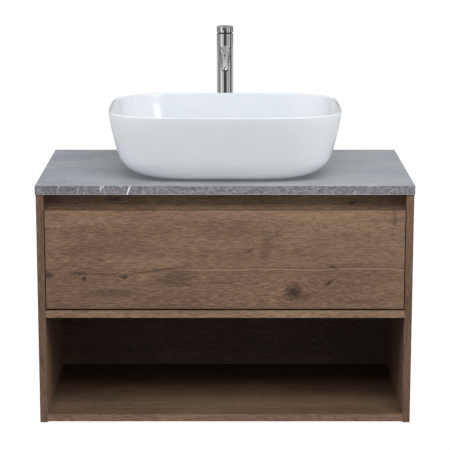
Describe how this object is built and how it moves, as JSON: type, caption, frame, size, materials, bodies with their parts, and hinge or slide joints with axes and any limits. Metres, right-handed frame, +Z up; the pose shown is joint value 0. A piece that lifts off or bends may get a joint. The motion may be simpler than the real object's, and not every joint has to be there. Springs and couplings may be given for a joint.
{
  "type": "vessel sink on vanity",
  "caption": "Wall-hung vanity with a finger-pull drawer and an open niche, a stone top, a ceramic vessel basin and a tall lever mixer tap.",
  "frame": {"origin": "centre of the four wall screws, on the wall plane", "axes": "+X to the right seen from the front, +Y into the wall, +Z up"},
  "size_m": [0.8, 0.5, 0.8167],
  "materials": {
    "stone": "honed slate-blue stone with thin pale veins",
    "oak": "brushed brown oak veneer, matt lacquered",
    "carcass_board": "oak-faced board",
    "zinc_steel": "bright zinc plated",
    "die_cast": "matt die cast zinc",
    "beech": "plain beech",
    "slide_steel": "zinc plated pressed steel",
    "drawer_board": "light grey melamine board",
    "ceramic": "white glossy glaze",
    "rubber": "matt black",
    "chrome": "polished",
    "brass": "machined",
    "spring_steel": "stainless wire",
    "black_plastic": "fine satin black",
    "cartridge_plastic": "moulded, off white"
  },
  "bodies": {
    "root": {"countertop": "stone", "side_panel_left": "oak", "side_panel_right": "oak", "fixed_shelf": "oak", "bottom_panel": "oak", "niche_back_panel": "oak", "finger_rail": "oak", "hanger_boards": "carcass_board", "wall_plates": "zinc_steel", "hanger_hooks": "zinc_steel", "cabinet_hangers": "die_cast", "hanger_adjusters": "zinc_steel", "dowels": "beech", "cam_locks": "die_cast", "cam_bolts": "zinc_steel", "counter_brackets": "zinc_steel", "carcass_screws": "zinc_steel", "slide_rails_outer": "slide_steel", "basin": "ceramic", "basin_seal": "rubber", "waste_body": "chrome", "waste_gaskets": "rubber", "waste_lock_nut": "brass", "plug_spring": "spring_steel", "trap_nuts": "chrome", "trap_inlet_tube": "chrome", "trap_body": "chrome", "trap_cup": "chrome", "trap_outlet_tube": "chrome", "wall_rosette": "chrome", "tap_base_ring": "chrome", "tap_base_seal": "rubber", "tap_body": "chrome", "spout": "chrome", "aerator_housing": "black_plastic", "aerator_screen": "black_plastic", "waterway": "brass", "cartridge_housing": "cartridge_plastic", "cartridge_nut": "brass", "neck_ring": "black_plastic", "mounting_sleeve": "brass", "clamp_gasket": "rubber", "clamp_washer": "zinc_steel", "clamp_nut": "brass"},
    "drawer": {"drawer_front": "oak", "drawer_sides": "drawer_board", "drawer_bottom": "drawer_board", "drawer_back_boards": "drawer_board", "trap_surround": "drawer_board", "front_angles": "zinc_steel", "drawer_screws": "zinc_steel", "slide_rails_inner": "slide_steel"},
    "slide_members": {"slide_rails_middle": "slide_steel"},
    "plug": {"plug": "chrome"},
    "cartridge_carrier": {"stem_carrier": "black_plastic", "pivot_pin": "zinc_steel"},
    "lever_handle": {"cartridge_stem": "brass", "handle": "chrome", "lever_pin": "chrome", "handle_grub_screw": "zinc_steel"}
  },
  "joints": [
    {"name": "drawer_slide", "type": "slide", "parent": "root", "child": "drawer", "axis": [0, -1, 0], "range_m": [0, 0.35]},
    {"name": "slide_members_slide", "type": "slide", "parent": "root", "child": "slide_members", "axis": [0, -1, 0], "range_m": [0, 0.175]},
    {"name": "lever_swivel", "type": "hinge", "parent": "root", "child": "cartridge_carrier", "pos_m": [0, -0.028, 0.3486], "axis": [0, 0, 1], "range_deg": [-45, 45]},
    {"name": "lever_lift", "type": "hinge", "parent": "cartridge_carrier", "child": "lever_handle", "pos_m": [0, -0.028, 0.3486], "axis": [-1, 0, 0], "range_deg": [0, 22]},
    {"name": "plug_press", "type": "slide", "parent": "root", "child": "plug", "axis": [0, 0, 1], "range_m": [-0.0078, 0], "stiffness_N_per_m": 500, "springref_m": 0.008, "deforming": ["plug_spring"]}
  ],
  "couplings": [
    {"joint": "slide_members_slide", "follows": "drawer_slide", "ratio": 0.5}
  ]
}
